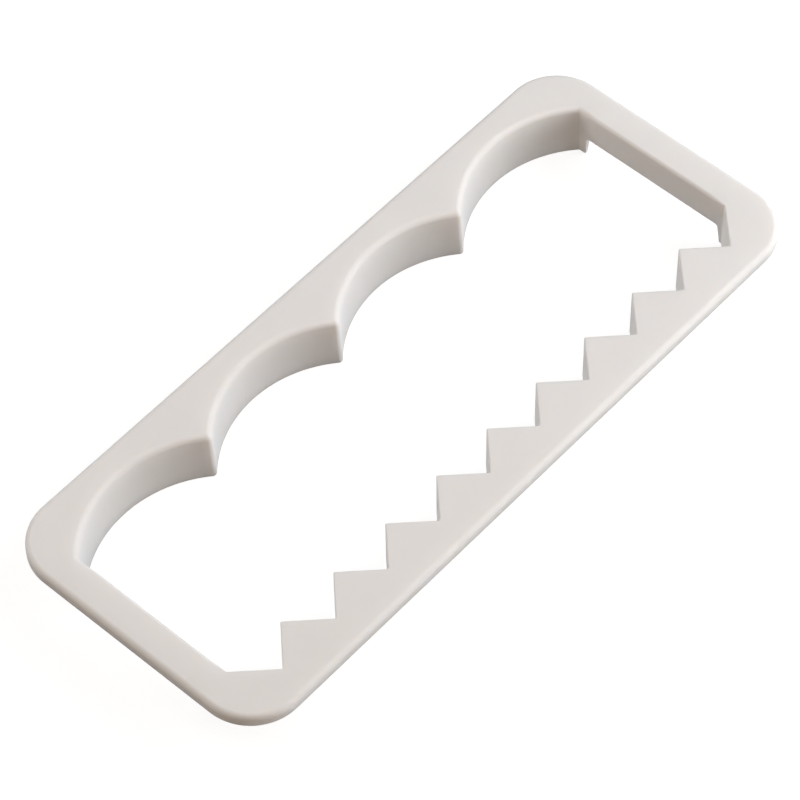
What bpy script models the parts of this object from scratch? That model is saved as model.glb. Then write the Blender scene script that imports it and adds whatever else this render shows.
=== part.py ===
"""Straight border cutter for rolled paste, moulded in one piece.

A flat plate frames a long opening. One long side of the opening is a row of scallops, and
the other is a row of pointed teeth. A thin blade hangs from the plate all round the opening
and follows both patterns. Its inner face is upright along the teeth and the end walls, and
leans out towards the top along the scallops. Its outer face draws in to a narrow flat cutting
edge. The end walls stop short of that edge, so that a strip can be cut on from the last one.

Metres, +Z up. +X runs along the plate, and +Y from the teeth to the scallops. The origin is
under the middle of the plate, level with the cutting edge.
"""

import math

import bmesh
import bpy

MM = 0.001

# Opening
OPENING_LENGTH = 100 * MM  # from end wall to end wall
OPENING_WIDTH = 25.75 * MM  # from the tips of the teeth to the cusps, at the cutting edge
SCALLOP_COUNT = 4
SCALLOP_DEPTH = 5 * MM
SCALLOP_LEAN = 0.45 * MM  # how far the scallops stand further out at the top face
TOOTH_COUNT = 10
TOOTH_DEPTH = 5 * MM
CUSP_RADIUS = 0.5 * MM  # between two scallops
TOOTH_RADIUS = 0.2 * MM  # at the tips of the teeth and the notches between them
CORNER_RADIUS = 0.4 * MM  # where the end walls meet the two patterns

# Plate
PLATE_THICKNESS = 2 * MM
END_RIM = 5 * MM
SCALLOP_RIM = 4.75 * MM  # outside the scallops at the cutting edge
TOOTH_RIM = 4.5 * MM
PLATE_CORNER_RADIUS = 7.75 * MM
PLATE_EDGE_RADIUS = 0.8 * MM  # on the outer edge of the top face
OPENING_EDGE_RADIUS = 0.5 * MM  # on the inner edge of the top face

# Blade
BLADE_DEPTH = 6.5 * MM  # below the plate
ROOT_WALL = 1.3 * MM  # its thickness at the plate
EDGE_WALL = 0.4 * MM  # its thickness at the cutting edge
ROOT_FILLET = 0.5 * MM  # where its outer face meets the plate

# End walls
END_WALL_DEPTH = 3.2 * MM  # below the plate
SCALLOP_RETURN_EDGE = 0.8 * MM  # what is left beside the scallops, at the cutting edge
SCALLOP_RETURN_ROOT = 1.7 * MM  # the same, level with the end wall's lower edge
TOOTH_RETURN_EDGE = 0.4 * MM  # what is left beside the teeth, at the cutting edge
TOOTH_RETURN_ROOT = 0.95 * MM
RELIEF_RADIUS = 0.5 * MM  # where the end wall's lower edge meets what is left

# Facets
SCALLOP_SEGMENTS = 24
ROUND_SEGMENTS = 4
PLATE_CORNER_SEGMENTS = 12

CUT_MARGIN = 2 * MM  # how far a cutter runs past what it cuts
MERGE_DISTANCE = 0.00002 * MM
FLAT_ANGLE = math.radians(0.05)
SHARP_ANGLE = math.radians(30)

# Colour of the moulding, a warm grey white, in linear values
BODY_COLOUR = (0.715, 0.672, 0.638, 1)
BODY_ROUGHNESS = 0.42

HEIGHT = BLADE_DEPTH + PLATE_THICKNESS
PLATE_LENGTH = OPENING_LENGTH + 2 * END_RIM
PLATE_WIDTH = TOOTH_RIM + TOOTH_DEPTH + OPENING_WIDTH + SCALLOP_DEPTH + SCALLOP_RIM
TIP_Y = -PLATE_WIDTH / 2 + TOOTH_RIM + TOOTH_DEPTH
CUSP_Y = TIP_Y + OPENING_WIDTH
TOOTH_PITCH = OPENING_LENGTH / TOOTH_COUNT
FLANK_ANGLE = math.atan2(TOOTH_DEPTH, TOOTH_PITCH / 2)
SCALLOP_CHORD = OPENING_LENGTH / SCALLOP_COUNT
SCALLOP_RADIUS = (SCALLOP_CHORD**2 / 4 + SCALLOP_DEPTH**2) / (2 * SCALLOP_DEPTH)
SCALLOP_CENTRE_Y = CUSP_Y + SCALLOP_DEPTH - SCALLOP_RADIUS
QUARTER = math.pi / 2


def clear_scene():
    for obj in list(bpy.data.objects):
        bpy.data.objects.remove(obj)


def new_collection(name):
    collection = bpy.data.collections.new(name)
    bpy.context.scene.collection.children.link(collection)
    return collection


def arc(centre, radius, start, stop, segments):
    """Points on an arc between two angles, which are in radians from the first axis."""
    angles = [start + (stop - start) * i / segments for i in range(segments + 1)]
    return [
        (centre[0] + radius * math.cos(a), centre[1] + radius * math.sin(a))
        for a in angles
    ]


def rounded_polygon(corners, radii, segments):
    """The outline of a convex polygon, counterclockwise, with each corner rounded."""
    points = []
    for i, (corner, radius) in enumerate(zip(corners, radii)):
        before = corners[i - 1]
        after = corners[(i + 1) % len(corners)]
        heading_in = math.atan2(corner[1] - before[1], corner[0] - before[0])
        heading_out = math.atan2(after[1] - corner[1], after[0] - corner[0])
        turn = (heading_out - heading_in) % (2 * math.pi)
        back = radius * math.tan(turn / 2)
        centre = (
            corner[0] - back * math.cos(heading_in) - radius * math.sin(heading_in),
            corner[1] - back * math.sin(heading_in) + radius * math.cos(heading_in),
        )
        start = heading_in - QUARTER
        points += arc(centre, radius, start, start + turn, segments)
    return points


def toothed_side(offset):
    """The teeth, from the left end wall to the right one, moved by offset into the material."""
    end = OPENING_LENGTH / 2
    down = 3 * QUARTER
    corner_x = end - CORNER_RADIUS
    corner_y = TIP_Y + CORNER_RADIUS * (1 - math.sin(FLANK_ANGLE)) / math.cos(FLANK_ANGLE)
    corner_radius = CORNER_RADIUS + offset
    notch_y = TIP_Y - TOOTH_DEPTH + TOOTH_RADIUS / math.cos(FLANK_ANGLE)
    tip_y = TIP_Y - max(TOOTH_RADIUS, offset) / math.cos(FLANK_ANGLE)
    tip_radius = max(TOOTH_RADIUS - offset, 0)
    points = arc(
        (-corner_x, corner_y), corner_radius, 2 * QUARTER, down - FLANK_ANGLE, ROUND_SEGMENTS
    )
    for i in range(TOOTH_COUNT):
        notch = (-end + (i + 0.5) * TOOTH_PITCH, notch_y)
        points += arc(
            notch, TOOTH_RADIUS + offset, down - FLANK_ANGLE, down + FLANK_ANGLE, ROUND_SEGMENTS
        )
        if i < TOOTH_COUNT - 1:
            tip = (-end + (i + 1) * TOOTH_PITCH, tip_y)
            points += arc(
                tip, tip_radius, QUARTER + FLANK_ANGLE, QUARTER - FLANK_ANGLE, ROUND_SEGMENTS
            )
    points += arc(
        (corner_x, corner_y), corner_radius, down + FLANK_ANGLE, 4 * QUARTER, ROUND_SEGMENTS
    )
    return points


def scalloped_side(offset):
    """The scallops, from the right end wall to the left one, moved by offset into the material."""
    end = OPENING_LENGTH / 2
    half_chord = SCALLOP_CHORD / 2
    corner_run = half_chord - CORNER_RADIUS
    corner_rise = math.sqrt((SCALLOP_RADIUS - CORNER_RADIUS) ** 2 - corner_run**2)
    corner_y = SCALLOP_CENTRE_Y + corner_rise
    corner_angle = math.atan2(corner_rise, corner_run)
    cusp_rise = math.sqrt(
        (SCALLOP_RADIUS + max(CUSP_RADIUS, offset)) ** 2 - half_chord**2
    )
    cusp_angle = math.atan2(cusp_rise, half_chord)
    cusp_radius = max(CUSP_RADIUS - offset, 0)
    points = arc(
        (end - CORNER_RADIUS, corner_y), CORNER_RADIUS + offset, 0, corner_angle, ROUND_SEGMENTS
    )
    for i in range(SCALLOP_COUNT):
        centre = (end - (i + 0.5) * SCALLOP_CHORD, SCALLOP_CENTRE_Y)
        start = corner_angle if i == 0 else cusp_angle
        stop = math.pi - (corner_angle if i == SCALLOP_COUNT - 1 else cusp_angle)
        points += arc(centre, SCALLOP_RADIUS + offset, start, stop, SCALLOP_SEGMENTS)
        if i < SCALLOP_COUNT - 1:
            cusp = (centre[0] - half_chord, SCALLOP_CENTRE_Y + cusp_rise)
            points += arc(
                cusp, cusp_radius, -cusp_angle, cusp_angle - math.pi, ROUND_SEGMENTS
            )
    points += arc(
        (CORNER_RADIUS - end, corner_y),
        CORNER_RADIUS + offset,
        math.pi - corner_angle,
        math.pi,
        ROUND_SEGMENTS,
    )
    return points


def loft(name, levels, collection):
    """A solid through the opening's outline at several levels, each an offset and a height.

    The scalloped side moves out evenly with the height. Every outline has the same number of
    points, so each point is joined to its own above. Where a rounding has shrunk to nothing,
    its points lie on one spot and are merged.
    """
    bm = bmesh.new()
    rings = []
    for offset, height in levels:
        lean = SCALLOP_LEAN * height / HEIGHT
        outline = toothed_side(offset) + [(x, y + lean) for x, y in scalloped_side(offset)]
        rings.append([bm.verts.new((x, y, height)) for x, y in outline])
    for lower, upper in zip(rings, rings[1:]):
        for i in range(len(lower)):
            bm.faces.new((lower[i - 1], lower[i], upper[i], upper[i - 1]))
    bm.faces.new(rings[0][::-1])
    bm.faces.new(rings[-1])
    bmesh.ops.remove_doubles(bm, verts=bm.verts, dist=MERGE_DISTANCE)
    mesh = bpy.data.meshes.new(name)
    bm.to_mesh(mesh)
    bm.free()
    obj = bpy.data.objects.new(name, mesh)
    collection.objects.link(obj)
    return obj


def flare(offset, height, radius):
    """Levels of a quarter round that leaves an upright face and ends flat at the height."""
    centre = (offset + radius, height - radius)
    return arc(centre, radius, math.pi, QUARTER, ROUND_SEGMENTS)


def extruded(name, outline, depth, collection):
    """A flat outline as a solid, centred on its own plane, with its caps joined to its sides."""
    curve = bpy.data.curves.new(name, "CURVE")
    curve.dimensions = "2D"
    curve.fill_mode = "BOTH"
    curve.extrude = depth / 2
    spline = curve.splines.new("POLY")
    spline.points.add(len(outline) - 1)
    for point, (x, y) in zip(spline.points, outline):
        point.co = (x, y, 0, 1)
    spline.use_cyclic_u = True
    guide = bpy.data.objects.new(name + "_outline", curve)
    collection.objects.link(guide)
    graph = bpy.context.evaluated_depsgraph_get()
    mesh = bpy.data.meshes.new_from_object(guide.evaluated_get(graph))
    mesh.name = name
    bpy.data.objects.remove(guide)
    bm = bmesh.new()
    bm.from_mesh(mesh)
    bmesh.ops.remove_doubles(bm, verts=bm.verts, dist=MERGE_DISTANCE)
    bmesh.ops.dissolve_limit(
        bm, angle_limit=FLAT_ANGLE, verts=bm.verts, edges=bm.edges
    )
    bmesh.ops.recalc_face_normals(bm, faces=bm.faces)
    bm.to_mesh(mesh)
    bm.free()
    obj = bpy.data.objects.new(name, mesh)
    collection.objects.link(obj)
    return obj


def plate(collection):
    """The flat frame, with the outer edge of its top face rounded."""
    x = PLATE_LENGTH / 2
    y = PLATE_WIDTH / 2
    corners = [(-x, -y), (x, -y), (x, y), (-x, y)]
    outline = rounded_polygon(
        corners, [PLATE_CORNER_RADIUS] * len(corners), PLATE_CORNER_SEGMENTS
    )
    obj = extruded("cutter_body", outline, PLATE_THICKNESS, collection)
    obj.location.z = HEIGHT - PLATE_THICKNESS / 2
    weights = obj.data.attributes.new("bevel_weight_edge", "FLOAT", "EDGE")
    for edge in obj.data.edges:
        ends = [obj.data.vertices[v].co.z for v in edge.vertices]
        weights.data[edge.index].value = float(min(ends) > 0)
    rounding = obj.modifiers.new("top edge", "BEVEL")
    rounding.limit_method = "WEIGHT"
    rounding.width = PLATE_EDGE_RADIUS
    rounding.segments = ROUND_SEGMENTS
    return obj


def blade_block(collection):
    """The blade's outer face, filled: its inner face is cut with the opening."""
    root = flare(ROOT_WALL, BLADE_DEPTH, ROOT_FILLET)
    top = (ROOT_WALL + ROOT_FILLET, BLADE_DEPTH + PLATE_THICKNESS / 2)
    return loft("blade_block", [(EDGE_WALL, 0)] + root + [top], collection)


def opening_cutter(collection):
    """The opening, with the rounded edge that it has on the plate's top face."""
    rim = flare(0, HEIGHT, OPENING_EDGE_RADIUS)
    top = (OPENING_EDGE_RADIUS, HEIGHT + CUT_MARGIN)
    return loft("opening_cutter", [(0, -CUT_MARGIN)] + rim + [top], collection)


def relief_cutter(collection):
    """One bar along the opening that cuts both end walls short of the cutting edge."""
    top = BLADE_DEPTH - END_WALL_DEPTH
    scallop_slope = (SCALLOP_RETURN_ROOT - SCALLOP_RETURN_EDGE) / top
    tooth_slope = (TOOTH_RETURN_ROOT - TOOTH_RETURN_EDGE) / top
    corners = [
        (TIP_Y + TOOTH_RETURN_EDGE - tooth_slope * CUT_MARGIN, -CUT_MARGIN),
        (CUSP_Y - SCALLOP_RETURN_EDGE + scallop_slope * CUT_MARGIN, -CUT_MARGIN),
        (CUSP_Y - SCALLOP_RETURN_ROOT, top),
        (TIP_Y + TOOTH_RETURN_ROOT, top),
    ]
    outline = rounded_polygon(corners, [0, 0, RELIEF_RADIUS, RELIEF_RADIUS], ROUND_SEGMENTS)
    length = OPENING_LENGTH + 2 * (ROOT_WALL + ROOT_FILLET + CUT_MARGIN)
    obj = extruded("relief_cutter", outline, length, collection)
    obj.rotation_euler = (QUARTER, 0, QUARTER)
    return obj


def combine(body, tool, operation):
    """Joins a tool to the body or cuts it out, and puts the tool away as a wire frame."""
    boolean = body.modifiers.new(tool.name, "BOOLEAN")
    boolean.operation = operation
    boolean.solver = "EXACT"
    boolean.object = tool
    tool.hide_render = True
    tool.display_type = "WIRE"


def settle(body):
    """Makes the body one plain mesh at the origin, smooth but for its real edges."""
    bpy.context.view_layer.update()
    graph = bpy.context.evaluated_depsgraph_get()
    mesh = bpy.data.meshes.new_from_object(body.evaluated_get(graph))
    mesh.transform(body.matrix_world)
    bm = bmesh.new()
    bm.from_mesh(mesh)
    bmesh.ops.remove_doubles(bm, verts=bm.verts, dist=MERGE_DISTANCE)
    bmesh.ops.dissolve_degenerate(bm, edges=bm.edges, dist=MERGE_DISTANCE)
    bm.to_mesh(mesh)
    bm.free()
    mesh.shade_smooth()
    mesh.set_sharp_from_angle(angle=SHARP_ANGLE)
    body.modifiers.clear()
    body.data = mesh
    body.location = (0, 0, 0)


def moulding_material():
    """Satin moulded plastic."""
    material = bpy.data.materials.new("warm_white_plastic")
    material.use_nodes = True
    shader = material.node_tree.nodes["Principled BSDF"]
    shader.inputs["Base Color"].default_value = BODY_COLOUR
    shader.inputs["Roughness"].default_value = BODY_ROUGHNESS
    shader.inputs["Metallic"].default_value = 0
    material.diffuse_color = BODY_COLOUR
    return material


def main():
    clear_scene()
    parts = new_collection("fondant_cutter")
    tools = new_collection("tools")
    body = plate(parts)
    combine(body, blade_block(tools), "UNION")
    combine(body, opening_cutter(tools), "DIFFERENCE")
    combine(body, relief_cutter(tools), "DIFFERENCE")
    settle(body)
    body.data.materials.clear()
    body.data.materials.append(moulding_material())
    tools.hide_render = True


main()
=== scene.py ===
"""Straight border cutter for rolled paste: the finish of the moulding, its light and its camera.

The moulding is one closed surface. A cross-section is carried round the opening's outline: up
the blade's inner face, over the rounded rim, across the plate, round its edge, back under it
and down the blade's outer face to the cutting edge. Lengths are in metres, +X runs along the
plate, +Y from the teeth to the scallops, and Z is 0 at the cutting edge.
"""

import math

import bmesh
import bpy
import numpy as np
from bpy.props import FloatProperty, FloatVectorProperty, IntProperty, PointerProperty
from mathutils import Matrix, Vector


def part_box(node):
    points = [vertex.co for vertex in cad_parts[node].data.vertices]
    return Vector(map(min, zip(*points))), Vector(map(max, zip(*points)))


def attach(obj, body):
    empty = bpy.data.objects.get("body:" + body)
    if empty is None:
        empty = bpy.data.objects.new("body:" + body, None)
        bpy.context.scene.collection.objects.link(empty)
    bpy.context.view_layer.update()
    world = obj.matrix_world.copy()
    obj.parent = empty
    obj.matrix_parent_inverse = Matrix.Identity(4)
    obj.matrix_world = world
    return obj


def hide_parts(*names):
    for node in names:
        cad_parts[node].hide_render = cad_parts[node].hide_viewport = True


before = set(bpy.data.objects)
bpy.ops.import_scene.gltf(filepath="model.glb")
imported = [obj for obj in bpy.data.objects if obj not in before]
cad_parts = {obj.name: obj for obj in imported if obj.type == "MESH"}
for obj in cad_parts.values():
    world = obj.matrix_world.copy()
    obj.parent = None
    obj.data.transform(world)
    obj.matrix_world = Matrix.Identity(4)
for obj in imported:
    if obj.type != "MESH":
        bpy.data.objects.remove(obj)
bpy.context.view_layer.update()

bl_info = {
    "name": "Border cutter",
    "version": (1, 0, 0),
    "blender": (4, 5, 0),
    "location": "3D View > Sidebar > Cutter",
    "description": "Builds the moulded border cutter around its solid, with its light and camera",
    "category": "Add Mesh",
}

MM = 0.001
NODE = "cutter_body"
LOW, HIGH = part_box(NODE)
QUARTER = math.pi / 2

# Points along the moulding's outlines and rows round its cross-section
SCALLOP_STEPS = 110
CUSP_STEPS = 12
FLANK_STEPS = 16
TOOTH_STEPS = 8
CORNER_STEPS = 24
WALL_END_STEPS = 44
WALL_STEPS = 30
ROUND_STEPS = 8
FACE_STEPS = 4
STATION_STEPS = 8000

# Stretch of an end wall at each corner, where its points are closer and its rim's rounding
# changes, and the distance under which two points are one
WALL_END = 3 * MM
WELD = 0.001 * MM

# Widths and depths of the finish's patterns. Real blasting is about 0.05 mm wide and real draw
# lines 0.1 mm: both are drawn wider, as they need to show.
CLOUD_SPAN = 14 * MM
WAVE_SPAN = 18 * MM
WAVE_DEPTH = 0.05 * MM
DRAW_SPAN = 0.4 * MM
DRAW_LENGTH = 12 * MM
DRAW_DEPTH = 0.02 * MM
GRAIN_SPAN = 0.22 * MM
GRAIN_DEPTH = 0.004 * MM
FIBRE_SPAN = 1.5 * MM

# How far the grain varies the plastic's roughness, and the fibre the paper's tone, either way
GRAIN_ROUGHNESS = 0.05
FIBRE_TONE = 0.01


def linear(hex_colour):
    """The linear colour of an sRGB hex value such as "dcd7d2"."""
    channels = [int(hex_colour[i : i + 2], 16) / 255 for i in (0, 2, 4)]
    return [c / 12.92 if c <= 0.04045 else ((c + 0.055) / 1.055) ** 2.4 for c in channels]


def length(name, description, millimetres):
    return FloatProperty(
        name=name,
        description=description,
        default=millimetres * MM,
        min=0,
        precision=5,
        subtype="DISTANCE",
        unit="LENGTH",
    )


class CutterShape(bpy.types.PropertyGroup):
    """Sizes of the moulding that its solid's box doesn't give."""

    scallop_count: IntProperty(name="Scallops", description="Scallops along one side", default=4)
    tooth_count: IntProperty(name="Teeth", description="Notches along the other side", default=10)
    opening_length: length("Opening length", "From end wall to end wall", 100)
    opening_width: length("Opening width", "From the tips of the teeth to the cusps", 25.75)
    scallop_depth: length("Scallop depth", "From the cusps to the crests", 5)
    scallop_lean: length("Scallop lean", "How far the scalloped blade leans out at the top", 0.45)
    tooth_depth: length("Tooth depth", "From the tips to the notches", 5)
    tooth_rim: length("Tooth rim", "From the notches to the plate's outer edge", 4.5)
    cusp_radius: length("Cusp radius", "Rounding between two scallops", 0.65)
    tooth_radius: length("Tooth radius", "Rounding of the tips and notches", 0.2)
    corner_radius: length("Corner radius", "Rounding of the opening's corners", 0.4)
    plate_thickness: length("Plate thickness", "Thickness of the flat frame", 2)
    plate_corner: length("Plate corner", "Radius of the plate's corners", 7.75)
    plate_edge: length("Plate edge", "Rounding of the top face's outer edge", 0.8)
    rim_edge: length("Rim edge", "Rounding of the top face's inner edge", 0.5)
    scallop_edge: length("Scallop edge", "The same rounding along the scallops", 0.8)
    tooth_edge: length("Tooth edge", "The same rounding along the teeth", 0.2)
    sharp_edge: length("Moulded edge", "Rounding of the plate's lower edge", 0.12)
    root_wall: length("Root wall", "Thickness of the blade at the plate", 1.3)
    edge_wall: length("Edge wall", "Thickness of the blade at the cutting edge", 0.4)
    root_fillet: length("Root fillet", "Where the blade meets the plate", 0.5)
    land_edge: length("Cutting edge rounding", "Rounding of the cutting edge", 0.12)
    end_wall_depth: length("End wall", "Depth of the end walls below the plate", 3.2)
    scallop_return_edge: length("Scallop return", "Its width at the cutting edge", 1.1)
    scallop_return_root: length("Scallop return root", "Its width at the end wall", 1.35)
    tooth_return_edge: length("Tooth return", "Its width at the cutting edge", 0.4)
    tooth_return_root: length("Tooth return root", "Its width at the end wall", 0.95)
    relief_radius: length("Relief radius", "Where the end wall meets its returns", 0.5)
    foot_radius: length("Foot radius", "Rounding of the returns' feet", 0.25)


class CutterFinish(bpy.types.PropertyGroup):
    """Colour and surface of the moulding."""

    body: FloatVectorProperty(
        name="Plastic",
        description="Colour of the moulded plastic",
        subtype="COLOR",
        size=3,
        default=linear("dfdfe0"),
    )
    flow: FloatVectorProperty(
        name="Flow marks",
        description="Colour where the plastic filled the mould more slowly",
        subtype="COLOR",
        size=3,
        default=linear("dbdbdb"),
    )
    roughness: FloatProperty(
        name="Roughness",
        description="Roughness of the satin face",
        default=0.66,
        subtype="FACTOR",
    )
    handled: FloatProperty(
        name="Handled edges",
        description="How much smoother the edges are worn than the faces",
        default=0.04,
        subtype="FACTOR",
    )
    depth: length("Light depth", "How far light spreads inside the plastic", 4)


class CutterStage(bpy.types.PropertyGroup):
    """Light and paper round the cutter."""

    light: FloatProperty(name="Light", description="Strength of all the lamps", default=1.0)
    lamp_size: FloatProperty(
        name="Lamp size", description="A lamp's diameter over its distance", default=0.667
    )
    paper: FloatProperty(
        name="Paper",
        description="Share of the light that the paper gives back to the cutter",
        default=0.28,
        subtype="FACTOR",
    )
    paper_white: FloatProperty(
        name="Paper white", description="White that the camera sees on top of that", default=0.84
    )


def arc(centre, radius, start, stop, steps):
    """Points on an arc: the centre plus the radius times the cosine and sine of each angle."""
    angle = np.linspace(start, stop, steps + 1)
    return np.column_stack(
        (centre[0] + radius * np.cos(angle), centre[1] + radius * np.sin(angle))
    )


def between(start, stop, fractions):
    """Points of a straight stretch at these fractions of its way."""
    return start + fractions[:, None] * (stop - start)


class Outline:
    """The opening's outline and the plate's, point for point, in one order."""

    def __init__(self, s):
        self.s = s
        self.end = s.opening_length / 2
        self.tip_y = LOW.y + s.tooth_rim + s.tooth_depth
        self.cusp_y = self.tip_y + s.opening_width
        self.pitch = s.opening_length / s.tooth_count
        self.flank = math.atan2(s.tooth_depth, self.pitch / 2)
        self.chord = s.opening_length / s.scallop_count
        self.radius = (self.chord**2 / 4 + s.scallop_depth**2) / (2 * s.scallop_depth)
        self.centre_y = self.cusp_y + s.scallop_depth - self.radius
        y = self.opening(0)[:, 1]
        self.lean = s.scallop_lean * np.clip((y - self.tip_y) / s.opening_width, 0, 1) / HIGH.z
        past_teeth = [self.tip_y + s.corner_radius, self.tip_y + WALL_END]
        to_scallops = [self.cusp_y - WALL_END, self.cusp_y - s.corner_radius]
        self.plain = np.interp(y, past_teeth, [0, 1])
        self.scalloped = np.interp(y, to_scallops, [0, 1])
        self.rim = (
            s.tooth_edge
            + self.plain * (s.rim_edge - s.tooth_edge)
            + self.scalloped * (s.scallop_edge - s.rim_edge)
        )

    def toothed_side(self, offset):
        """Arcs at the corners, tips and notches, in order from the left end wall.

        A notch's arc keeps its centre and grows with the offset. A tip's arc keeps its centre
        and shrinks until it is a point, which then backs into the material.
        """
        s = self.s
        down = 3 * QUARTER
        corner_x = self.end - s.corner_radius
        corner_y = self.tip_y + s.corner_radius * (1 - math.sin(self.flank)) / math.cos(self.flank)
        corner_radius = s.corner_radius + offset
        notch_y = self.tip_y - s.tooth_depth + s.tooth_radius / math.cos(self.flank)
        tip_y = self.tip_y - max(s.tooth_radius, offset) / math.cos(self.flank)
        tip_radius = max(s.tooth_radius - offset, 0)
        arcs = [
            arc((-corner_x, corner_y), corner_radius, 2 * QUARTER, down - self.flank, CORNER_STEPS)
        ]
        for i in range(s.tooth_count):
            notch = ((i + 0.5) * self.pitch - self.end, notch_y)
            notch_radius = s.tooth_radius + offset
            arcs.append(
                arc(notch, notch_radius, down - self.flank, down + self.flank, TOOTH_STEPS)
            )
            if i < s.tooth_count - 1:
                tip = ((i + 1) * self.pitch - self.end, tip_y)
                arcs.append(
                    arc(tip, tip_radius, QUARTER + self.flank, QUARTER - self.flank, TOOTH_STEPS)
                )
        arcs.append(
            arc((corner_x, corner_y), corner_radius, down + self.flank, 4 * QUARTER, CORNER_STEPS)
        )
        return arcs

    def scalloped_side(self, offset):
        """Arcs of the corners, scallops and cusps, in order from the right end wall.

        A cusp's centre lies where it touches both neighbouring scallops.
        """
        s = self.s
        half = self.chord / 2
        corner_run = half - s.corner_radius
        corner_rise = math.sqrt((self.radius - s.corner_radius) ** 2 - corner_run**2)
        corner_y = self.centre_y + corner_rise
        corner_radius = s.corner_radius + offset
        corner_angle = math.atan2(corner_rise, corner_run)
        cusp_rise = math.sqrt((self.radius + max(s.cusp_radius, offset)) ** 2 - half**2)
        cusp_angle = math.atan2(cusp_rise, half)
        cusp_radius = max(s.cusp_radius - offset, 0)
        corner_x = self.end - s.corner_radius
        arcs = [arc((corner_x, corner_y), corner_radius, 0, corner_angle, CORNER_STEPS)]
        for i in range(s.scallop_count):
            centre = (self.end - (i + 0.5) * self.chord, self.centre_y)
            start = corner_angle if i == 0 else cusp_angle
            stop = math.pi - (corner_angle if i == s.scallop_count - 1 else cusp_angle)
            arcs.append(arc(centre, self.radius + offset, start, stop, SCALLOP_STEPS))
            if i < s.scallop_count - 1:
                cusp = (centre[0] - half, self.centre_y + cusp_rise)
                arcs.append(arc(cusp, cusp_radius, -cusp_angle, cusp_angle - math.pi, CUSP_STEPS))
        arcs.append(
            arc((-corner_x, corner_y), corner_radius, math.pi - corner_angle, math.pi, CORNER_STEPS)
        )
        return arcs

    def stretches(self, offset):
        """The opening's outline in eight stretches, moved by offset into the material.

        They run counterclockwise: a corner, the teeth, a corner, the right end wall, a corner,
        the scallops, a corner and the left end wall.
        """
        flank = np.linspace(0, 1, FLANK_STEPS + 1)[1:-1]
        near = WALL_END / self.s.opening_width
        first = np.linspace(0, near, WALL_END_STEPS + 1)[1:]
        middle = np.linspace(near, 1 - near, WALL_STEPS + 1)[1:-1]
        wall = np.concatenate((first, middle, 1 - first[::-1]))
        teeth = self.toothed_side(offset)
        scallops = self.scalloped_side(offset)
        toothed = []
        for before, after in zip(teeth, teeth[1:]):
            toothed += [between(before[-1], after[0], flank), after]
        return [
            teeth[0],
            np.concatenate(toothed[:-1]),
            teeth[-1],
            between(teeth[-1][-1], scallops[0][0], wall),
            scallops[0],
            np.concatenate(scallops[1:-1]),
            scallops[-1],
            between(scallops[-1][-1], teeth[0][0], wall),
        ]

    def opening(self, offset):
        """The opening's outline, counterclockwise, moved by offset into the material."""
        return np.concatenate(self.stretches(offset))

    def leaning_row(self, outline, height):
        """The outline at this height, a number or an array, leaning out evenly with it."""
        x, y = outline.T
        height = np.broadcast_to(height, len(x))
        return np.column_stack((x, y + self.lean * height, height))

    def rim_outline(self, share):
        """The outline moved into the material by this share of the rim's radius there."""
        s = self.s
        toothed = self.opening(s.tooth_edge * share)
        plain = self.opening(s.rim_edge * share)
        scalloped = self.opening(s.scallop_edge * share)
        on_walls = self.plain[:, None] * (plain - toothed)
        return toothed + on_walls + self.scalloped[:, None] * (scalloped - plain)

    def plate_stations(self):
        """How far along the plate's outline each point of the opening has its partner.

        Partners share X along the teeth and the scallops, and Y along the end walls. Round a
        corner of the opening they run on evenly.
        """
        stretches = self.stretches(0)
        edges = np.cumsum([0] + [len(stretch) for stretch in stretches])
        whole = self.plate_length()
        table = np.linspace(0, whole, STATION_STEPS + 1)
        points, _ = self.plate_outline(table, 0)
        teeth, right, scallops, left = 1, 3, 5, 7
        sides = (
            (teeth, 0, points[:, 1] < 0),
            (right, 1, points[:, 0] > 0),
            (scallops, 0, points[:, 1] > 0),
            (left, 1, points[:, 0] < 0),
        )
        station = np.full(edges[-1], np.nan)
        for part, axis, side in sides:
            order = np.argsort(points[side, axis], kind="stable")
            along = table[side][order]
            if part == left:
                along = np.where(along < whole / 2, along + whole, along)
            station[edges[part] : edges[part + 1]] = np.interp(
                stretches[part][:, axis], points[side, axis][order], along
            )
        known = np.flatnonzero(~np.isnan(station))
        place = np.arange(len(station))
        place = np.where(place < known[0], place + len(station), place)
        known_place = np.append(known, known[0] + len(station))
        known_station = np.append(station[known], station[known[0]] + whole)
        return np.interp(place, known_place, known_station) % whole

    def plate_length(self):
        """Length of the plate's outline."""
        r = self.s.plate_corner
        straight_x = HIGH.x - LOW.x - 2 * r
        straight_y = HIGH.y - LOW.y - 2 * r
        return 2 * (straight_x + straight_y) + 4 * QUARTER * r

    def plate_outline(self, station, inset):
        """Points and outward headings of the plate's outline at these distances along it.

        The outline is a small rectangle widened by the corner radius. Its core walks along the
        rectangle's sides and waits at each corner, where the heading turns instead.
        """
        r = self.s.plate_corner
        x, y = HIGH.x - r, HIGH.y - r
        turn = QUARTER * r
        lengths = [turn, 2 * x, turn, 2 * y, turn, 2 * x, turn, 2 * y]
        knots = np.concatenate(([0], np.cumsum(lengths)))
        core_x = np.interp(station, knots, [-x, -x, x, x, x, x, -x, -x, -x])
        core_y = np.interp(station, knots, [-y, -y, -y, -y, y, y, y, y, -y])
        heading = np.interp(station, knots, QUARTER * np.array([2, 3, 3, 4, 4, 5, 5, 6, 6]))
        reach = r - inset
        points = np.column_stack(
            (core_x + reach * np.cos(heading), core_y + reach * np.sin(heading))
        )
        return points, heading

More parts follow.
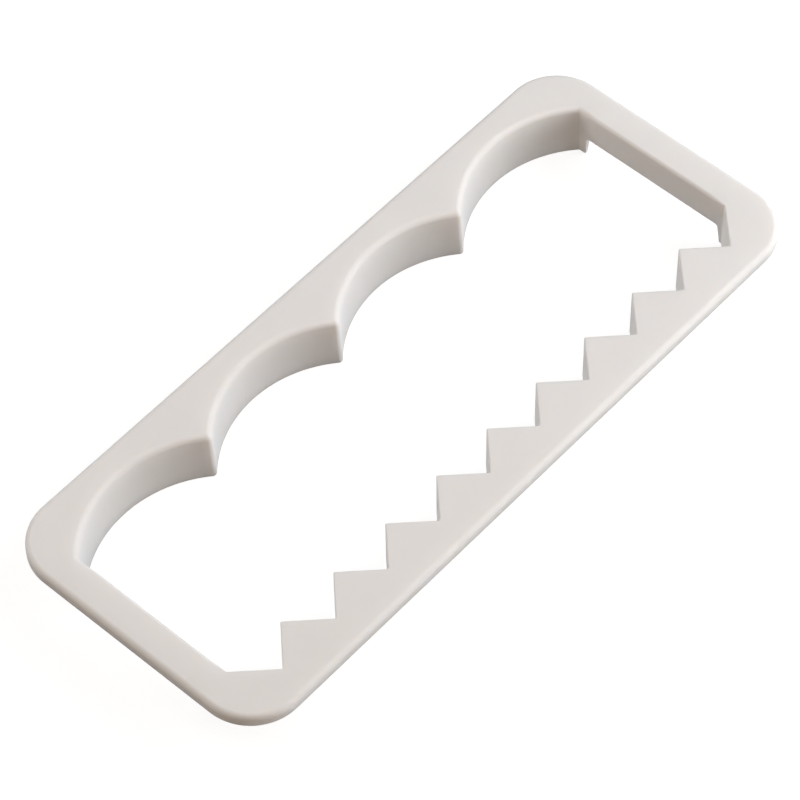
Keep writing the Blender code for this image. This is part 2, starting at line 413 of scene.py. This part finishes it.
    def lower_edge(self, opening):
        """Height of the blade's lower edge at each point of the opening.

        It is 0 but for the end walls, where it follows the relief: up a steep flank, round a
        corner and level.
        """
        s = self.s
        top = HIGH.z - s.plate_thickness - s.end_wall_depth
        toe = self.tip_y + s.tooth_return_edge
        heel = self.cusp_y - s.scallop_return_edge
        corners = np.array(
            [
                (toe - 2 * s.foot_radius, 0),
                (toe, 0),
                (self.tip_y + s.tooth_return_root, top),
                (self.cusp_y - s.scallop_return_root, top),
                (heel, 0),
                (heel + 2 * s.foot_radius, 0),
            ]
        )
        radii = [s.foot_radius, s.relief_radius, s.relief_radius, s.foot_radius]
        profile = [corners[:1]]
        for i, radius in enumerate(radii, start=1):
            profile.append(fillet(corners[i - 1], corners[i], corners[i + 1], radius))
        profile.append(corners[-1:])
        profile = np.concatenate(profile)
        height = np.interp(opening[:, 1], profile[:, 0], profile[:, 1], left=0, right=0)
        return np.where(np.abs(opening[:, 0]) > self.end - WELD, height, 0)


def fillet(before, corner, after, radius):
    """An arc that rounds a corner: it leaves each side where the tangent length ends."""
    arrive = (corner - before) / np.linalg.norm(corner - before)
    leave = (after - corner) / np.linalg.norm(after - corner)
    turn = math.atan2(arrive[0] * leave[1] - arrive[1] * leave[0], arrive @ leave)
    start = corner - radius * math.tan(abs(turn) / 2) * arrive
    side = math.copysign(1, turn) * np.array((-arrive[1], arrive[0]))
    centre = start + radius * side
    angle = math.atan2(-side[1], -side[0])
    return arc(centre, radius, angle, angle + turn, ROUND_STEPS)


def row(outline, height):
    """One row of the surface: the outline's points at this height, a number or an array."""
    return np.column_stack((outline, np.broadcast_to(height, len(outline))))


def moulding_rows(s):
    """The cross-section's rows, from the foot of the blade's inner face round to its cutting edge."""
    shape = Outline(s)
    inner = shape.opening(0)
    floor = shape.lower_edge(inner)
    top = HIGH.z
    under = top - s.plate_thickness
    root = under - s.root_fillet
    quarter = np.linspace(0, QUARTER, ROUND_STEPS + 1)
    station = shape.plate_stations()
    low = floor + s.land_edge

    # Up the inner face and over the rim
    rows = []
    for t in np.linspace(0, 1, FACE_STEPS + 1)[:-1]:
        rows.append(shape.leaning_row(inner, low + t * (top - shape.rim - low)))
    for a in quarter:
        outline = shape.rim_outline(1 - math.cos(a))
        rows.append(shape.leaning_row(outline, top - shape.rim * (1 - math.sin(a))))

    # Round the plate's edge: its upper rounding, then its lower one
    for a in quarter[::-1]:
        outline, _ = shape.plate_outline(station, s.plate_edge * (1 - math.cos(a)))
        rows.append(row(outline, top - s.plate_edge * (1 - math.sin(a))))
    for a in quarter[::2]:
        outline, _ = shape.plate_outline(station, s.sharp_edge * (1 - math.cos(a)))
        rows.append(row(outline, under + s.sharp_edge * (1 - math.sin(a))))

    # Under the plate, into the fillet and down the outer face
    for a in quarter[::-1]:
        outline = shape.opening(s.root_wall + s.root_fillet * (1 - math.cos(a)))
        rows.append(shape.leaning_row(outline, root + s.root_fillet * math.sin(a)))
    at_root = shape.opening(s.root_wall)
    at_edge = shape.opening(s.edge_wall)

    def outer_face(height):
        """The blade's outer face: straight from its cutting edge up to its root."""
        share = (height / root)[:, None]
        return at_edge + share * (at_root - at_edge)

    for t in np.linspace(1, 0, FACE_STEPS + 1)[1:]:
        height = low + t * (root - low)
        rows.append(shape.leaning_row(outer_face(height), height))

    # Round both sides of the cutting edge
    foot = outer_face(floor)
    inward = (inner - foot) / np.linalg.norm(inner - foot, axis=1)[:, None]
    for a in quarter[2::2]:
        outline = foot + s.land_edge * (1 - math.cos(a)) * inward
        rows.append(shape.leaning_row(outline, floor + s.land_edge * (1 - math.sin(a))))
    for a in quarter[::-2][:-1]:
        outline = inner - s.land_edge * (1 - math.cos(a)) * inward
        rows.append(shape.leaning_row(outline, floor + s.land_edge * (1 - math.sin(a))))
    return np.array(rows)


def closed_surface(name, rows):
    """A mesh of quads between rows that close on themselves both ways.

    Points that fall together are joined, and faces without area go.
    """
    count, width = rows.shape[:2]
    i, j = np.meshgrid(np.arange(count), np.arange(width), indexing="ij")
    after_i = (i + 1) % count
    after_j = (j + 1) % width
    quads = np.stack(
        (i * width + j, after_i * width + j, after_i * width + after_j, i * width + after_j),
        axis=-1,
    ).reshape(-1, 4)
    mesh = bpy.data.meshes.new(name)
    mesh.from_pydata(rows.reshape(-1, 3), [], quads)
    bm = bmesh.new()
    bm.from_mesh(mesh)
    bmesh.ops.remove_doubles(bm, verts=bm.verts, dist=WELD)
    bmesh.ops.dissolve_degenerate(bm, edges=bm.edges, dist=WELD)
    bm.to_mesh(mesh)
    bm.free()
    mesh.shade_smooth()
    obj = bpy.data.objects.new(name, mesh)
    bpy.context.scene.collection.objects.link(obj)
    return obj


def add_node(tree, kind, settings=None, inputs=None, links=None):
    """Adds a node, sets its properties and unlinked sockets, and links its other sockets."""
    node = tree.nodes.new(kind)
    for name, value in (settings or {}).items():
        setattr(node, name, value)
    for name, value in (inputs or {}).items():
        node.inputs[name].default_value = value
    for name, socket in (links or {}).items():
        tree.links.new(socket, node.inputs[name])
    return node


def noise(tree, place, span, detail):
    """A soft noise whose patches are about this wide, as its factor's socket."""
    node = add_node(
        tree,
        "ShaderNodeTexNoise",
        inputs={"Scale": 1 / span, "Detail": detail},
        links={"Vector": place},
    )
    return node.outputs["Fac"]


def moulded_plastic(finish):
    """Satin styrene, injection moulded in a finely blasted mould.

    The blasting leaves an even grain, so highlights are broad and soft. The shrinking wall
    pulls in long faint waves, and the blades keep faint upright lines from sliding out of the
    mould. Light goes some way in, so the thin blades are warm at their edges.
    """
    material = bpy.data.materials.new("injection_moulded_styrene")
    material.use_nodes = True
    tree = material.node_tree
    tree.nodes.clear()
    place = add_node(tree, "ShaderNodeTexCoord").outputs["Object"]
    surface = add_node(tree, "ShaderNodeNewGeometry")

    cloud = noise(tree, place, CLOUD_SPAN, detail=3.0)
    colour = add_node(
        tree,
        "ShaderNodeMix",
        settings={"data_type": "RGBA"},
        inputs={"A": (*finish.flow, 1), "B": (*finish.body, 1)},
        links={"Factor": cloud},
    )

    # Sink waves, draw lines and blasted grain, each on top of the one before
    wave = add_node(
        tree,
        "ShaderNodeBump",
        inputs={"Strength": 0.5, "Distance": WAVE_DEPTH},
        links={"Height": noise(tree, place, WAVE_SPAN, detail=1.0)},
    )
    stretch = add_node(
        tree,
        "ShaderNodeMapping",
        inputs={"Scale": (1, 1, DRAW_SPAN / DRAW_LENGTH)},
        links={"Vector": place},
    )
    facing = add_node(tree, "ShaderNodeSeparateXYZ", links={"Vector": surface.outputs["Normal"]})
    level = add_node(
        tree, "ShaderNodeMath", settings={"operation": "ABSOLUTE"}, links={0: facing.outputs["Z"]}
    )
    upright = add_node(
        tree,
        "ShaderNodeMapRange",
        inputs={"From Min": 0.5, "From Max": 0.1, "To Min": 0.0, "To Max": 0.5},
        links={"Value": level.outputs[0]},
    )
    draw = add_node(
        tree,
        "ShaderNodeBump",
        inputs={"Distance": DRAW_DEPTH},
        links={
            "Strength": upright.outputs["Result"],
            "Height": noise(tree, stretch.outputs["Vector"], DRAW_SPAN, detail=2.0),
            "Normal": wave.outputs["Normal"],
        },
    )
    grain = noise(tree, place, GRAIN_SPAN, detail=2.0)
    fine = add_node(
        tree,
        "ShaderNodeBump",
        inputs={"Strength": 0.5, "Distance": GRAIN_DEPTH},
        links={"Height": grain, "Normal": draw.outputs["Normal"]},
    )

    # The grain varies the gloss, and handling has worn it smoother along the edges
    face = add_node(
        tree,
        "ShaderNodeMapRange",
        inputs={
            "To Min": finish.roughness - GRAIN_ROUGHNESS,
            "To Max": finish.roughness + GRAIN_ROUGHNESS,
        },
        links={"Value": grain},
    )
    edge = add_node(
        tree,
        "ShaderNodeMapRange",
        inputs={"From Min": 0.5, "From Max": 0.6, "To Min": 0.0, "To Max": finish.handled},
        links={"Value": surface.outputs["Pointiness"]},
    )
    roughness = add_node(
        tree,
        "ShaderNodeMath",
        settings={"operation": "SUBTRACT"},
        links={0: face.outputs["Result"], 1: edge.outputs["Result"]},
    )
    shader = add_node(
        tree,
        "ShaderNodeBsdfPrincipled",
        inputs={
            "IOR": 1.55,
            "Metallic": 0.0,
            "Specular IOR Level": 0.35,
            "Subsurface Weight": 0.5,
            # Red light goes furthest into the plastic
            "Subsurface Radius": (1.0, 0.84, 0.7),
            "Subsurface Scale": finish.depth,
        },
        links={
            "Base Color": colour.outputs["Result"],
            "Roughness": roughness.outputs[0],
            "Normal": fine.outputs["Normal"],
        },
    )
    add_node(tree, "ShaderNodeOutputMaterial", links={"Surface": shader.outputs["BSDF"]})
    return material


def seen_directly(tree):
    """1 for the camera's rays and for what gloss and glass show, and 0 for light on things."""
    path = add_node(tree, "ShaderNodeLightPath")
    seen = path.outputs["Is Camera Ray"]
    for kind in ("Is Glossy Ray", "Is Transmission Ray"):
        either = add_node(
            tree,
            "ShaderNodeMath",
            settings={"operation": "MAXIMUM"},
            links={0: seen, 1: path.outputs[kind]},
        )
        seen = either.outputs[0]
    return seen


def backdrop_paper(stage):
    """Matt paper: white to the camera, with the cutter's faint shadow on it.

    Its fibre is drawn coarser than real paper's, so that it shows.
    """
    material = bpy.data.materials.new("matt_white_paper")
    material.use_nodes = True
    tree = material.node_tree
    tree.nodes.clear()
    place = add_node(tree, "ShaderNodeTexCoord").outputs["Object"]
    tone = add_node(
        tree,
        "ShaderNodeMapRange",
        inputs={"To Min": stage.paper - FIBRE_TONE, "To Max": stage.paper + FIBRE_TONE},
        links={"Value": noise(tree, place, FIBRE_SPAN, detail=2.0)},
    )
    paper = add_node(tree, "ShaderNodeBsdfDiffuse", links={"Color": tone.outputs["Result"]})
    amount = add_node(
        tree,
        "ShaderNodeMath",
        settings={"operation": "MULTIPLY"},
        inputs={1: stage.paper_white},
        links={0: seen_directly(tree)},
    )
    white = add_node(tree, "ShaderNodeEmission", links={"Strength": amount.outputs[0]})
    both = add_node(
        tree, "ShaderNodeAddShader", links={0: paper.outputs[0], 1: white.outputs[0]}
    )
    add_node(tree, "ShaderNodeOutputMaterial", links={"Surface": both.outputs[0]})
    return material


class CUTTER_OT_moulding(bpy.types.Operator):
    """Build the cutter's moulding and dress it in its plastic"""

    bl_idname = "cutter.moulding"
    bl_label = "Moulding"

    def execute(self, context):
        rows = moulding_rows(context.scene.cutter_shape)
        moulding = closed_surface("border_cutter_moulding", rows)
        moulding.data.materials.append(moulded_plastic(context.scene.cutter_finish))
        weighted = moulding.modifiers.new("flat faces stay flat", "WEIGHTED_NORMAL")
        weighted.keep_sharp = True
        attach(moulding, "root")
        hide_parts(NODE)
        return {"FINISHED"}


# The camera as fitted to the outlines in the photograph, then the paper just under the cutter
CAMERA_PLACE = Vector((-0.21751, -0.19732, 0.40948))
CAMERA_AIM = Vector((-0.00409, -0.0014, 0.0085))
CAMERA_ROLL = math.radians(-1.06)
CAMERA_LENS = 168.01
SENSOR_WIDTH = 36
CLIP_START = 0.01
CLIP_END = 20
PAPER_HALF = 4
PAPER_LEVEL = -0.02 * MM

# Name, heading from +X towards +Y and height above the paper in degrees, distance in metres,
# strength and colour. At strength 1 a white sheet that faces the lamp renders white.
LAMPS = (
    ("front_key", 312, 12, 0.42, 0.59, "ffffff"),
    ("front_fill", 300, 38, 0.42, 0.27, "ffffff"),
    ("right_fill", 337.5, 38, 0.42, 0.42, "ffffff"),
    ("back_fill", 112.5, 40, 0.42, 0.58, "fffaf6"),
    ("camera_side_fill", 225, 38, 0.80, 0.26, "ffdebe"),
)


def add_lamp(name, heading, height, distance, strength, colour, size):
    """A soft disk lamp that faces the cutter.

    A disk of W watts lights a sheet that faces it at distance d as brightly as white needs
    when W is pi squared times d squared. The camera doesn't see the lamp itself.
    """
    light = bpy.data.lights.new(name, "AREA")
    light.shape = "DISK"
    light.size = size * distance
    light.energy = strength * (math.pi * distance) ** 2
    light.color = linear(colour)
    obj = bpy.data.objects.new(name, light)
    heading, height = math.radians(heading), math.radians(height)
    flat = math.cos(height)
    away = Vector((math.cos(heading) * flat, math.sin(heading) * flat, math.sin(height)))
    obj.location = Vector((0, 0, HIGH.z)) + distance * away
    obj.rotation_euler = away.to_track_quat("Z", "Y").to_euler()
    obj.visible_camera = False
    bpy.context.scene.collection.objects.link(obj)


class CUTTER_OT_stage(bpy.types.Operator):
    """Lay the paper under the cutter and set up the light and the camera"""

    bl_idname = "cutter.stage"
    bl_label = "Stage"

    def execute(self, context):
        scene = context.scene
        stage = scene.cutter_stage
        corners = PAPER_HALF * np.array([(-1, -1), (1, -1), (1, 1), (-1, 1)])
        paper = bpy.data.meshes.new("paper")
        paper.from_pydata(row(corners, PAPER_LEVEL), [], [(0, 1, 2, 3)])
        paper.materials.append(backdrop_paper(stage))
        floor = bpy.data.objects.new("paper", paper)
        scene.collection.objects.link(floor)

        world = bpy.data.worlds.new("studio")
        scene.world = world
        world.use_nodes = True
        tree = world.node_tree
        tree.nodes.clear()
        white = add_node(
            tree,
            "ShaderNodeBackground",
            inputs={"Color": (1, 1, 1, 1)},
            links={"Strength": seen_directly(tree)},
        )
        add_node(tree, "ShaderNodeOutputWorld", links={"Surface": white.outputs[0]})

        for name, heading, height, distance, strength, colour in LAMPS:
            strength *= stage.light
            add_lamp(name, heading, height, distance, strength, colour, stage.lamp_size)

        camera = bpy.data.objects.new("camera", bpy.data.cameras.new("camera"))
        scene.collection.objects.link(camera)
        camera.data.sensor_width = SENSOR_WIDTH
        camera.data.lens = CAMERA_LENS
        camera.data.clip_start = CLIP_START
        camera.data.clip_end = CLIP_END
        view = (CAMERA_AIM - CAMERA_PLACE).to_track_quat("-Z", "Y").to_matrix().to_4x4()
        roll = Matrix.Rotation(CAMERA_ROLL, 4, "Z")
        camera.matrix_world = Matrix.Translation(CAMERA_PLACE) @ view @ roll
        scene.camera = camera
        scene.view_settings.view_transform = "Standard"
        return {"FINISHED"}


class CUTTER_PT_panel(bpy.types.Panel):
    """The cutter's pieces and stage"""

    bl_label = "Border cutter"
    bl_idname = "CUTTER_PT_panel"
    bl_space_type = "VIEW_3D"
    bl_region_type = "UI"
    bl_category = "Cutter"

    def draw(self, context):
        column = self.layout.column()
        column.operator(CUTTER_OT_moulding.bl_idname)
        column.operator(CUTTER_OT_stage.bl_idname)
        scene = context.scene
        for group in (scene.cutter_shape, scene.cutter_finish, scene.cutter_stage):
            for name in group.bl_rna.properties.keys():
                if name not in ("rna_type", "name"):
                    column.prop(group, name)


CLASSES = (
    CutterShape,
    CutterFinish,
    CutterStage,
    CUTTER_OT_moulding,
    CUTTER_OT_stage,
    CUTTER_PT_panel,
)


def register():
    for cls in CLASSES:
        bpy.utils.register_class(cls)
    bpy.types.Scene.cutter_shape = PointerProperty(type=CutterShape)
    bpy.types.Scene.cutter_finish = PointerProperty(type=CutterFinish)
    bpy.types.Scene.cutter_stage = PointerProperty(type=CutterStage)


def unregister():
    del bpy.types.Scene.cutter_stage
    del bpy.types.Scene.cutter_finish
    del bpy.types.Scene.cutter_shape
    for cls in reversed(CLASSES):
        bpy.utils.unregister_class(cls)


def main():
    register()
    bpy.ops.cutter.moulding()
    bpy.ops.cutter.stage()


if __name__ == "__main__":
    main()
